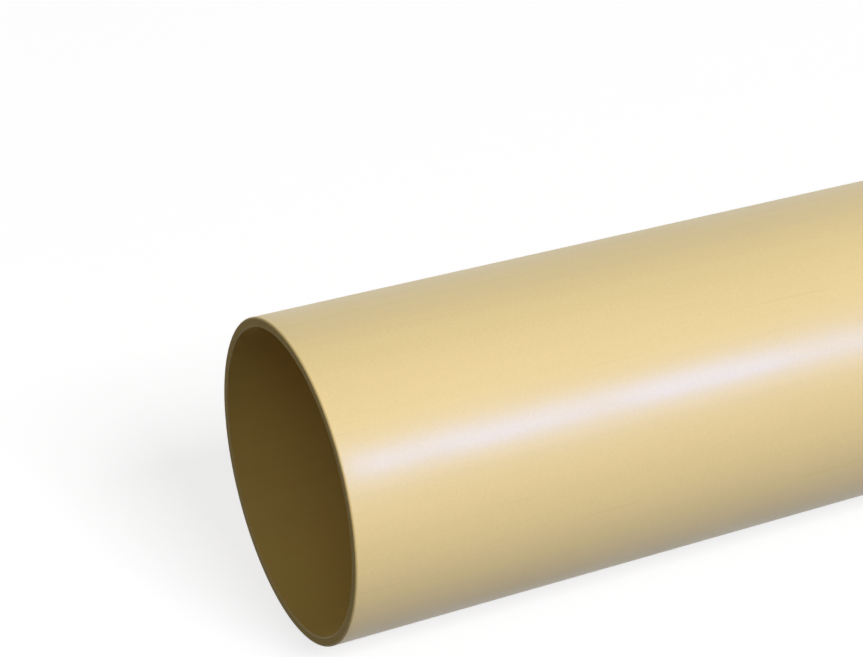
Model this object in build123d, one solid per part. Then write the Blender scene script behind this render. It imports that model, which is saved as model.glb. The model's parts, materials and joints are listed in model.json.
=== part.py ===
from build123d import *
import os

# A straight length of smooth, thin-walled plastic drain pipe, extruded in one piece and sawn
# square at both ends. It lies on its side on a level floor at Z = 0, with its axis along X and
# its middle over the origin. All sizes are in millimetres.

# Driving dimensions
outer_diameter = 110.0  # the standard size that this pipe's couplings and seals slide over
wall_thickness = 3.2  # the same all round and all along
pipe_length = 3000.0  # stock length, from one sawn end to the other
outer_edge_break = 0.6  # width of the bevel that deburring leaves round an end's outer edge
inner_edge_break = 0.4  # the same round its inner edge, where the scraper takes off less

# Sizes that follow
outer_radius = outer_diameter / 2
bore_radius = outer_radius - wall_thickness


def pipe_section():
    """The ring that the extruder's die gives, drawn square to the pipe where one end is sawn."""
    with BuildSketch(Plane.YZ.offset(-pipe_length / 2)) as section:
        Circle(outer_radius)
        Circle(bore_radius, mode=Mode.SUBTRACT)
    return section.sketch


def rims_by_radius(pipe):
    """The round edges of both ends, in one group for each radius, the narrowest first."""
    return pipe.edges().filter_by(GeomType.CIRCLE).group_by(SortBy.RADIUS)


def deburred(pipe):
    """The pipe with the sharp outer and inner edges of its sawn ends bevelled at 45 degrees."""
    pipe = chamfer(rims_by_radius(pipe)[-1], outer_edge_break)
    return chamfer(rims_by_radius(pipe)[0], inner_edge_break)


def drain_pipe():
    """The section extruded to length, its ends deburred, set down so that it rests on the floor."""
    pipe = deburred(extrude(pipe_section(), pipe_length))
    return Pos(0, 0, outer_radius) * pipe


os.makedirs("parts", exist_ok=True)
export_step(drain_pipe(), "parts/drain_pipe.step")
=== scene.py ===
import json
from math import cos, pi, radians, sin, tau

import bpy
from mathutils import Euler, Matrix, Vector


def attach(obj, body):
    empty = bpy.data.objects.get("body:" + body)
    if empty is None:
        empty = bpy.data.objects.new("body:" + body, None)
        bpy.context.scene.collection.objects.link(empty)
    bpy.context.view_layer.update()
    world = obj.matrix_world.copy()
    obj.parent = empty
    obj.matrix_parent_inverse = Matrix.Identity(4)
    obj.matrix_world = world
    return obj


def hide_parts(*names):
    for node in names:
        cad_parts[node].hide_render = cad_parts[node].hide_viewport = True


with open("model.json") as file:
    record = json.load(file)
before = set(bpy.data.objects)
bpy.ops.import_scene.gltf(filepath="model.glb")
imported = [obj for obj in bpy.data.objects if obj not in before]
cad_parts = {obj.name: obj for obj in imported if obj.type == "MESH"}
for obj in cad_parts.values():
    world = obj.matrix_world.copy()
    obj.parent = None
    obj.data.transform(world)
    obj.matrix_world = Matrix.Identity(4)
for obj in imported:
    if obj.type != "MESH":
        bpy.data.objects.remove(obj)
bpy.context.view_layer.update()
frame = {"record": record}

# The pipe's sizes in metres. The record's mounts give its walls, its ends and their edge breaks.
MM = 0.001
MICRON = 0.000001
mounts = {mount["name"]: mount for mount in frame["record"]["mounts"]}
outer_radius = mounts["spigot_near"]["dims"]["r_mm"] * MM
bore_radius = mounts["bore"]["dims"]["r_mm"] * MM
axis_height = mounts["bore"]["pos_m"][2]
near_end = mounts["end_face_near"]["pos_m"][0]
far_end = mounts["end_face_far"]["pos_m"][0]
outer_edge_break = mounts["spigot_near"]["pos_m"][0] - near_end
inner_edge_break = mounts["bore"]["pos_m"][0] - near_end

# The photograph's frame, and the view that its rims and silhouettes give
PHOTO_WIDTH = 863
FOCAL_LENGTH_PX = 2373.4
SENSOR_WIDTH_MM = 36.0
CAMERA_FROM_NEAR_RIM = (-4.426, -11.075, 7.526)  # in outer radii, from the near rim's centre
CAMERA_HEADING = radians(25.917)  # from straight across the pipe towards its far end
CAMERA_FALL = radians(28.609)  # below the horizon

# The pipe's mesh
ROUND_STEPS = 256
LENGTH_STEPS = 60
FACE_STEPS = 4  # across a sawn end face
EDGE_STEPS = 4  # round an edge break

# Where each part of the wall's outline lies across the bake's map, in the outline's order
MAP_MARGIN = 0.01
MAP_ROWS = (
    (0.010, 0.490),
    (0.885, 0.897),
    (0.903, 0.915),
    (0.921, 0.933),
    (0.510, 0.870),
    (0.939, 0.951),
    (0.957, 0.969),
    (0.975, 0.987),
)

# Each surface's colour, as linear values, and its least and greatest roughness
CREAM = (0.80, 0.625, 0.295, 1.0)
# The bore's colour is the same cream, deepened and made more saturated: painted shade of the pipe's dim
# inside.
BORE_CREAM_WITH_PAINTED_SHADE = (0.78, 0.55, 0.15, 1.0)
SAWN = (0.73, 0.53, 0.20, 1.0)
SCRAPED = (0.70, 0.52, 0.22, 1.0)
SATIN_ROUGHNESS = (0.331, 0.371)
BORE_ROUGHNESS = (0.42, 0.52)
SAWN_ROUGHNESS = (0.70, 0.90)
SCRAPED_ROUGHNESS = (0.52, 0.62)
PLASTIC_IOR = 1.5
CUT_SPECULAR = 0.25  # of sawn and scraped plastic, where smooth plastic has 0.5
WORN_REACH = 6 * MM  # how far handling dulls the wall from its ends
BLADE_CENTRE = (0.0, -0.13, -0.11)  # in metres, of the saw blade whose arcs cross the ends
NOISE_REACH = (0.2, 0.8)  # what soft noise mostly stays within

# Light, as radiance where 1 renders as white. Each lamp lies along the pipe, at a distance from its
# axis and a rise round it from level with it in front. Its size is along the pipe, then across.
AMBIENT = 0.13
LAMPS = {
    "key": {
        "rise": radians(42.0),
        "distance": 9.0,
        "centre_x": 0.0,
        "size": (3.0, 3.6),
        "radiance": 20.3,
    },
    "back": {
        "rise": radians(174.0),
        "distance": 9.0,
        "centre_x": 0.5,
        "size": (3.0, 1.6),
        "radiance": 15.0,
    },
    "side": {
        "rise": radians(50.0),
        "distance": 3.0,
        "centre_x": -3.0,
        "size": (2.0, 1.4),
        "radiance": 1.1,
    },
    "fill": {
        "rise": radians(12.0),
        "distance": 6.0,
        "centre_x": 2.0,
        "size": (4.0, 1.6),
        "radiance": 3.5,
        "colour": (0.58, 0.57, 1.0),
    },
    "gleam": {
        "rise": radians(32.7),
        "distance": 3.0,
        "centre_x": 0.08,
        "size": (1.4, 0.25),
        "radiance": 96.0,
        "colour": (0.05, 0.295, 1.0),
        "for_gloss": True,
    },
}
FLOOR_SIZE = 30.0
FLOOR_SEEN_GREY = 0.35
FLOOR_BOUNCE_GREY = 0.03
FLOOR_GLOW = (0.75, 0.95)  # by the pipe, and far out where the lamps no longer reach
FLOOR_GLOW_REACH = (1.5, 7.0)  # how far from the pipe's middle the one starts to turn into the other


def add_node(tree, kind, inputs=None, **settings):
    """A new node with its settings, and a value or a linked socket for each named input."""
    node = tree.nodes.new(kind)
    for name, value in settings.items():
        setattr(node, name, value)
    for name, value in (inputs or {}).items():
        if isinstance(value, bpy.types.NodeSocket):
            tree.links.new(value, node.inputs[name])
        else:
            node.inputs[name].default_value = value
    return node


def maths(tree, operation, first, second=0.0):
    """The output of a Math node on two numbers or sockets."""
    inputs = {0: first, 1: second}
    return add_node(tree, "ShaderNodeMath", inputs, operation=operation).outputs[0]


def times(tree, first, second):
    """The product of two numbers or sockets."""
    return maths(tree, "MULTIPLY", first, second)


def total(tree, *terms):
    """The sum of several sockets."""
    result = terms[0]
    for term in terms[1:]:
        result = maths(tree, "ADD", result, term)
    return result


def ranged(tree, value, low, high, to_low, to_high, kind="LINEAR"):
    """value carried from the range low to high into the range to_low to to_high, and held there."""
    inputs = {
        "Value": value,
        "From Min": low,
        "From Max": high,
        "To Min": to_low,
        "To Max": to_high,
    }
    return add_node(tree, "ShaderNodeMapRange", inputs, interpolation_type=kind).outputs["Result"]


def spread(tree, pattern, low, high):
    """Soft noise carried into the range low to high."""
    return ranged(tree, pattern, *NOISE_REACH, low, high)


def mask(tree, value, low, high):
    """0 where value is under low, 1 where it is over high, and a soft step between."""
    return ranged(tree, value, low, high, 0.0, 1.0, "SMOOTHSTEP")


def place(tree):
    """The place on the object, in metres."""
    return tree.nodes.new("ShaderNodeTexCoord").outputs["Object"]


def noise(tree, per_metre, detail=1.0, turn=(0.0, 0.0, 0.0)):
    """Soft noise about 0.5, with so many features to a metre along X, Y and Z, after a turn."""
    inputs = {"Vector": place(tree), "Rotation": turn, "Scale": per_metre}
    where = add_node(tree, "ShaderNodeMapping", inputs).outputs["Vector"]
    inputs = {"Vector": where, "Scale": 1.0, "Detail": detail}
    return add_node(tree, "ShaderNodeTexNoise", inputs).outputs["Fac"]


def even(per_metre):
    """As many features to a metre each way."""
    return (per_metre, per_metre, per_metre)


def along(lengthwise, across):
    """Features to a metre along the pipe and across it."""
    return (lengthwise, across, across)


def grey(value):
    """A grey colour, from 0 for black to 1 for white."""
    return (value, value, value, 1.0)


def shaded(tree, colour, *changes):
    """colour made darker or lighter by up to each (pattern, amount), where the pattern leaves 0.5."""
    factor = None
    for pattern, amount in changes:
        change = spread(tree, pattern, 1.0 - amount, 1.0 + amount)
        factor = change if factor is None else times(tree, factor, change)
    inputs = {0: colour[:3], "Scale": factor}
    return add_node(tree, "ShaderNodeVectorMath", inputs, operation="SCALE").outputs[0]


def mixed(tree, colour, other, share):
    """The socket colour, turned by share into the plain colour other."""
    factor, first, second, result = 0, 6, 7, 2  # a Mix node's sockets for colours
    inputs = {factor: share, first: colour, second: other}
    return add_node(tree, "ShaderNodeMix", inputs, data_type="RGBA").outputs[result]


def relief(tree, *heights):
    """The normal of a surface raised by each (pattern, metres)."""
    raised = [times(tree, pattern, metres) for pattern, metres in heights]
    inputs = {"Height": total(tree, *raised), "Distance": 1.0}
    return add_node(tree, "ShaderNodeBump", inputs).outputs["Normal"]


def new_plastic(name):
    """A material with the pipe's own plastic in it, its node tree, and the tree's shader."""
    material = bpy.data.materials.new(name)
    material.use_nodes = True
    shader = material.node_tree.nodes["Principled BSDF"]
    shader.inputs["IOR"].default_value = PLASTIC_IOR
    return material, material.node_tree, shader


def wear(tree, shader, colour, roughness, normal):
    """Gives the shader the patterns that it wears."""
    tree.links.new(colour, shader.inputs["Base Color"])
    tree.links.new(roughness, shader.inputs["Roughness"])
    tree.links.new(normal, shader.inputs["Normal"])


def near_the_ends(tree, reach):
    """1 at both sawn ends, falling to 0 this far along the wall."""
    lengthwise = add_node(tree, "ShaderNodeSeparateXYZ", {0: place(tree)}).outputs["X"]
    middle = (near_end + far_end) / 2
    half = (far_end - near_end) / 2
    from_middle = maths(tree, "ABSOLUTE", maths(tree, "SUBTRACT", lengthwise, middle))
    return mask(tree, from_middle, half - reach, half)


def scuffs(tree):
    """Hairline marks of handling: few, short and nearly lengthwise, at two slants."""
    slants = ((0.0, 0.05, 0.03), (0.02, -0.09, -0.06))
    lines = [noise(tree, along(18.0, 900.0), turn=slant) for slant in slants]
    return maths(tree, "MAXIMUM", *[mask(tree, line, 0.72, 0.78) for line in lines])


def outer_wall_material():
    """Extruded plastic with a satin gloss, faint lengthwise lines, orange peel and shallow waves."""
    material, tree, shader = new_plastic("satin_outer_wall")
    mottle = noise(tree, along(5.0, 14.0), detail=3.0)
    streaks = noise(tree, along(1.2, 260.0), detail=2.0)
    grain = noise(tree, even(1500.0))
    die_lines = noise(tree, along(0.8, 700.0), detail=2.0)
    orange_peel = noise(tree, even(330.0))
    waves = noise(tree, along(28.0, 20.0))
    smudges = mask(tree, noise(tree, along(20.0, 24.0), detail=2.0), 0.4, 0.7)
    marks = scuffs(tree)
    worn = times(tree, near_the_ends(tree, WORN_REACH), noise(tree, even(600.0), detail=2.0))
    colour = shaded(tree, CREAM, (mottle, 0.03), (streaks, 0.016), (grain, 0.035))
    colour = mixed(tree, colour, SCRAPED, times(tree, marks, 0.25))
    roughness = total(
        tree,
        spread(tree, streaks, *SATIN_ROUGHNESS),
        times(tree, smudges, 0.04),
        times(tree, marks, 0.12),
        times(tree, worn, 0.15),
    )
    heights = (
        (waves, 450 * MICRON),
        (die_lines, 3 * MICRON),
        (orange_peel, 6 * MICRON),
        (marks, -4 * MICRON),
    )
    wear(tree, shader, colour, roughness, relief(tree, *heights))
    return material


def bore_wall_material():
    """The same plastic where it slid over the die's mandrel: duller, with stronger lines, and its cream
    deepened and made more saturated as painted shade of the pipe's dim inside.
    """
    material, tree, shader = new_plastic("dull_bore_wall")
    mottle = noise(tree, along(6.0, 20.0), detail=3.0)
    die_lines = noise(tree, along(0.8, 480.0), detail=3.0)
    ripple = noise(tree, even(240.0), detail=2.0)
    # Painted shade: the bore's colour is deeper than the outer wall's cream, for the dim inside of the
    # pipe.
    colour = shaded(tree, BORE_CREAM_WITH_PAINTED_SHADE, (mottle, 0.03), (die_lines, 0.02))
    roughness = spread(tree, die_lines, *BORE_ROUGHNESS)
    heights = (die_lines, 8 * MICRON), (ripple, 8 * MICRON)
    wear(tree, shader, colour, roughness, relief(tree, *heights))
    return material


def saw_arcs(tree):
    """Uneven shallow grooves in arcs, as a round saw blade leaves them across an end."""
    grooves_per_metre, changes_per_metre = 1400.0, 14.0
    at = add_node(tree, "ShaderNodeSeparateXYZ", {0: place(tree)}).outputs
    in_the_cut = add_node(tree, "ShaderNodeCombineXYZ", {"Y": at["Y"], "Z": at["Z"]}).outputs[0]
    inputs = {0: in_the_cut, 1: BLADE_CENTRE}
    radius = add_node(tree, "ShaderNodeVectorMath", inputs, operation="DISTANCE").outputs["Value"]
    inputs = {"X": times(tree, radius, grooves_per_metre), "Y": times(tree, at["Z"], changes_per_metre)}
    where = add_node(tree, "ShaderNodeCombineXYZ", inputs).outputs[0]
    inputs = {"Vector": where, "Scale": 1.0, "Detail": 2.0}
    return add_node(tree, "ShaderNodeTexNoise", inputs).outputs["Fac"]


def sawn_face_material():
    """A sawn end: matt, with the blade's arcs across it."""
    material, tree, shader = new_plastic("sawn_end")
    arcs = saw_arcs(tree)
    crumbs = noise(tree, even(2200.0), detail=2.0)
    patches = noise(tree, even(60.0), detail=2.0)
    colour = shaded(tree, SAWN, (arcs, 0.10), (crumbs, 0.06), (patches, 0.05))
    roughness = spread(tree, arcs, *SAWN_ROUGHNESS)
    heights = (arcs, 25 * MICRON), (crumbs, 10 * MICRON)
    shader.inputs["Specular IOR Level"].default_value = CUT_SPECULAR
    wear(tree, shader, colour, roughness, relief(tree, *heights))
    return material


def broken_edge_material():
    """The scraped edge breaks: smoother than the saw cut, with small nicks."""
    material, tree, shader = new_plastic("scraped_edge")
    nicks = mask(tree, noise(tree, even(900.0), detail=2.0), 0.62, 0.72)
    chatter = noise(tree, along(900.0, 260.0), detail=2.0)
    colour = mixed(tree, shaded(tree, SCRAPED, (chatter, 0.06)), SAWN, nicks)
    roughness = total(tree, spread(tree, chatter, *SCRAPED_ROUGHNESS), times(tree, nicks, 0.1))
    heights = (chatter, 10 * MICRON), (nicks, -15 * MICRON)
    shader.inputs["Specular IOR Level"].default_value = CUT_SPECULAR
    wear(tree, shader, colour, roughness, relief(tree, *heights))
    return material


def straight(start, end, steps):
    """Evenly spaced points from start to end, without start."""
    shares = [step / steps for step in range(1, steps + 1)]
    return [tuple(a + (b - a) * share for a, b in zip(start, end)) for share in shares]


def rounded(centre, radius, first_turn):
    """Points a quarter of the way round a circle, without the first, for a corner of the wall."""
    turns = [first_turn - step / EDGE_STEPS * pi / 2 for step in range(1, EDGE_STEPS + 1)]
    return [(centre[0] + radius * cos(turn), centre[1] + radius * sin(turn)) for turn in turns]


def wall_outline():
    """The wall's lengthwise section: where it starts, then (surface, points) runs of (x, radius)."""
    near_out = (near_end + outer_edge_break, outer_radius)
    far_out = (far_end - outer_edge_break, outer_radius)
    near_in = (near_end + inner_edge_break, bore_radius)
    far_in = (far_end - inner_edge_break, bore_radius)
    face_out = outer_radius - outer_edge_break
    face_in = bore_radius + inner_edge_break
    return near_out, [
        ("outer wall", straight(near_out, far_out, LENGTH_STEPS)),
        ("broken edge", rounded((far_out[0], face_out), outer_edge_break, pi / 2)),
        ("sawn face", straight((far_end, face_out), (far_end, face_in), FACE_STEPS)),
        ("broken edge", rounded((far_in[0], face_in), inner_edge_break, 0.0)),
        ("bore wall", straight(far_in, near_in, LENGTH_STEPS)),
        ("broken edge", rounded((near_in[0], face_in), inner_edge_break, -pi / 2)),
        ("sawn face", straight((near_end, face_in), (near_end, face_out), FACE_STEPS)),
        ("broken edge", rounded((near_out[0], face_out), outer_edge_break, pi)),
    ]


def ring_bands(runs):
    """For each ring of faces: its surface, its row on the map, and its start and end in the run."""
    bands = []
    for (surface, points), row in zip(runs, MAP_ROWS):
        steps = len(points)
        bands += [(surface, row, step / steps, (step + 1) / steps) for step in range(steps)]
    return bands


def turned_mesh(outline):
    """The closed outline turned round the pipe's axis, in rings of four-sided faces."""
    turns = [tau * step / ROUND_STEPS for step in range(ROUND_STEPS)]
    vertices = [
        (x, radius * sin(turn), axis_height + radius * cos(turn))
        for x, radius in outline
        for turn in turns
    ]
    faces = []
    for ring in range(len(outline)):
        here, there = ring * ROUND_STEPS, (ring + 1) % len(outline) * ROUND_STEPS
        for step in range(ROUND_STEPS):
            after = (step + 1) % ROUND_STEPS
            faces.append((here + step, there + step, there + after, here + after))
    mesh = bpy.data.meshes.new("drain_pipe_wall")
    mesh.from_pydata(vertices, [], faces)
    return mesh


def bake_corners(surface, row, first, last, step):
    """A face's four places on the bake's map: walls lie along it, ends are unrolled round it."""
    low, high = row
    whole = 1 - 2 * MAP_MARGIN
    corners = []
    for share, turn in ((first, step), (last, step), (last, step + 1), (first, step + 1)):
        on, over = share, turn / ROUND_STEPS
        if not surface.endswith("wall"):
            on, over = over, on
        corners.append((MAP_MARGIN + whole * on, low + (high - low) * over))
    return corners


def dress(mesh, bands):
    """Gives each ring of faces its material and its place on the bake's map."""
    materials = {
        "outer wall": outer_wall_material(),
        "bore wall": bore_wall_material(),
        "sawn face": sawn_face_material(),
        "broken edge": broken_edge_material(),
    }
    for material in materials.values():
        mesh.materials.append(material)
    surfaces = list(materials)
    bake_map = mesh.uv_layers.new(name="OFBake")
    for face in mesh.polygons:
        ring, step = divmod(face.index, ROUND_STEPS)
        surface, row, first, last = bands[ring]
        face.material_index = surfaces.index(surface)
        face.use_smooth = True
        corners = bake_corners(surface, row, first, last, step)
        for loop, corner in zip(face.loop_indices, corners):
            bake_map.data[loop].uv = corner


def sharpen(mesh, bands):
    """Makes the edges sharp where one kind of surface meets the next."""
    meeting_rings = {ring for ring, band in enumerate(bands) if band[0] != bands[ring - 1][0]}
    for edge in mesh.edges:
        first, second = (vertex // ROUND_STEPS for vertex in edge.vertices)
        edge.use_edge_sharp = first == second and first in meeting_rings


def pipe_piece():
    """The pipe turned from its wall's outline, with a material for each kind of surface."""
    start, runs = wall_outline()
    outline = [start]
    for surface, points in runs:
        outline += points
    outline.pop()  # the last point is the first again
    bands = ring_bands(runs)
    mesh = turned_mesh(outline)
    dress(mesh, bands)
    sharpen(mesh, bands)
    mesh.update()
    pipe = bpy.data.objects.new("pipe", mesh)
    bpy.context.scene.collection.objects.link(pipe)
    return pipe


def seen_directly(tree):
    """1 for what the camera sees, also in a reflection or through glass, and 0 for other light."""
    path = tree.nodes.new("ShaderNodeLightPath").outputs
    seen = maths(tree, "MAXIMUM", path["Is Camera Ray"], path["Is Glossy Ray"])
    return maths(tree, "MAXIMUM", seen, path["Is Transmission Ray"])


def white_surround():
    """A world that is seen as white and lights the object as a dim, even grey."""
    world = bpy.data.worlds.new("surround")
    world.use_nodes = True
    tree = world.node_tree
    tree.nodes.clear()
    dim, white = (
        add_node(tree, "ShaderNodeBackground", {"Color": grey(1.0), "Strength": strength})
        for strength in (AMBIENT, 1.0)
    )
    inputs = {0: seen_directly(tree), 1: dim.outputs[0], 2: white.outputs[0]}
    mix = add_node(tree, "ShaderNodeMixShader", inputs)
    add_node(tree, "ShaderNodeOutputWorld", {"Surface": mix.outputs[0]})
    bpy.context.scene.world = world


def floor_material():
    """A pale floor that is seen as white with the object's shadow, and bounces a little light."""
    material = bpy.data.materials.new("pale_floor")
    material.use_nodes = True
    tree = material.node_tree
    tree.nodes.clear()
    bounce = add_node(tree, "ShaderNodeBsdfDiffuse", {"Color": grey(FLOOR_BOUNCE_GREY)})
    shown = add_node(tree, "ShaderNodeBsdfDiffuse", {"Color": grey(FLOOR_SEEN_GREY)})
    far_out = add_node(tree, "ShaderNodeVectorMath", {0: place(tree)}, operation="LENGTH")
    strength = ranged(tree, far_out.outputs["Value"], *FLOOR_GLOW_REACH, *FLOOR_GLOW)
    glow = add_node(tree, "ShaderNodeEmission", {"Color": grey(1.0), "Strength": strength})
    white = add_node(tree, "ShaderNodeAddShader", {0: shown.outputs[0], 1: glow.outputs[0]})
    inputs = {0: seen_directly(tree), 1: bounce.outputs[0], 2: white.outputs[0]}
    mix = add_node(tree, "ShaderNodeMixShader", inputs)
    add_node(tree, "ShaderNodeOutputMaterial", {"Surface": mix.outputs[0]})
    return material


def floor():
    """A wide level floor at the height that the pipe lies on."""
    half = FLOOR_SIZE / 2
    mesh = bpy.data.meshes.new("floor")
    corners = [(-half, -half, 0.0), (half, -half, 0.0), (half, half, 0.0), (-half, half, 0.0)]
    mesh.from_pydata(corners, [], [(0, 1, 2, 3)])
    mesh.materials.append(floor_material())
    plane = bpy.data.objects.new("floor", mesh)
    bpy.context.scene.collection.objects.link(plane)


def soft_light(name, rise, distance, centre_x, size, radiance, colour=(1.0, 1.0, 1.0), for_gloss=False):
    """A rectangular lamp that faces the pipe's axis and shows in its gloss alone, or in all but it."""
    lamp = bpy.data.lights.new(name, "AREA")
    lamp.shape = "RECTANGLE"
    lamp.size, lamp.size_y = size
    lamp.energy = radiance * pi * size[0] * size[1]
    lamp.color = colour
    light = bpy.data.objects.new(name, lamp)
    away = Vector((0.0, -cos(rise), sin(rise)))
    light.location = Vector((centre_x, 0.0, axis_height)) + away * distance
    light.rotation_euler = away.to_track_quat("Z", "Y").to_euler()
    light.visible_camera = False
    light.visible_glossy = for_gloss
    light.visible_diffuse = not for_gloss
    bpy.context.scene.collection.objects.link(light)


def studio_lights():
    """Broad soft light all round, and one long cool strip for the gloss.

    The key stands high in front, the back lamp low behind, the side lamp before the near end, and
    the fill low along the front towards the far end.
    """
    for name, settings in LAMPS.items():
        soft_light(name, **settings)


def photo_camera():
    """The camera at the photograph's place, with its lens and framing."""
    lens = bpy.data.cameras.new("camera")
    lens.sensor_width = SENSOR_WIDTH_MM
    lens.lens = SENSOR_WIDTH_MM * FOCAL_LENGTH_PX / PHOTO_WIDTH
    camera = bpy.data.objects.new("camera", lens)
    rim_centre = Vector((near_end, 0.0, axis_height))
    camera.location = rim_centre + outer_radius * Vector(CAMERA_FROM_NEAR_RIM)
    camera.rotation_euler = Euler((pi / 2 - CAMERA_FALL, 0.0, -CAMERA_HEADING))
    bpy.context.scene.collection.objects.link(camera)
    bpy.context.scene.camera = camera


pipe = pipe_piece()
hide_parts("drain_pipe")
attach(pipe, "root")

photo_camera()
white_surround()
floor()
studio_lights()
bpy.context.scene.view_settings.view_transform = "Standard"
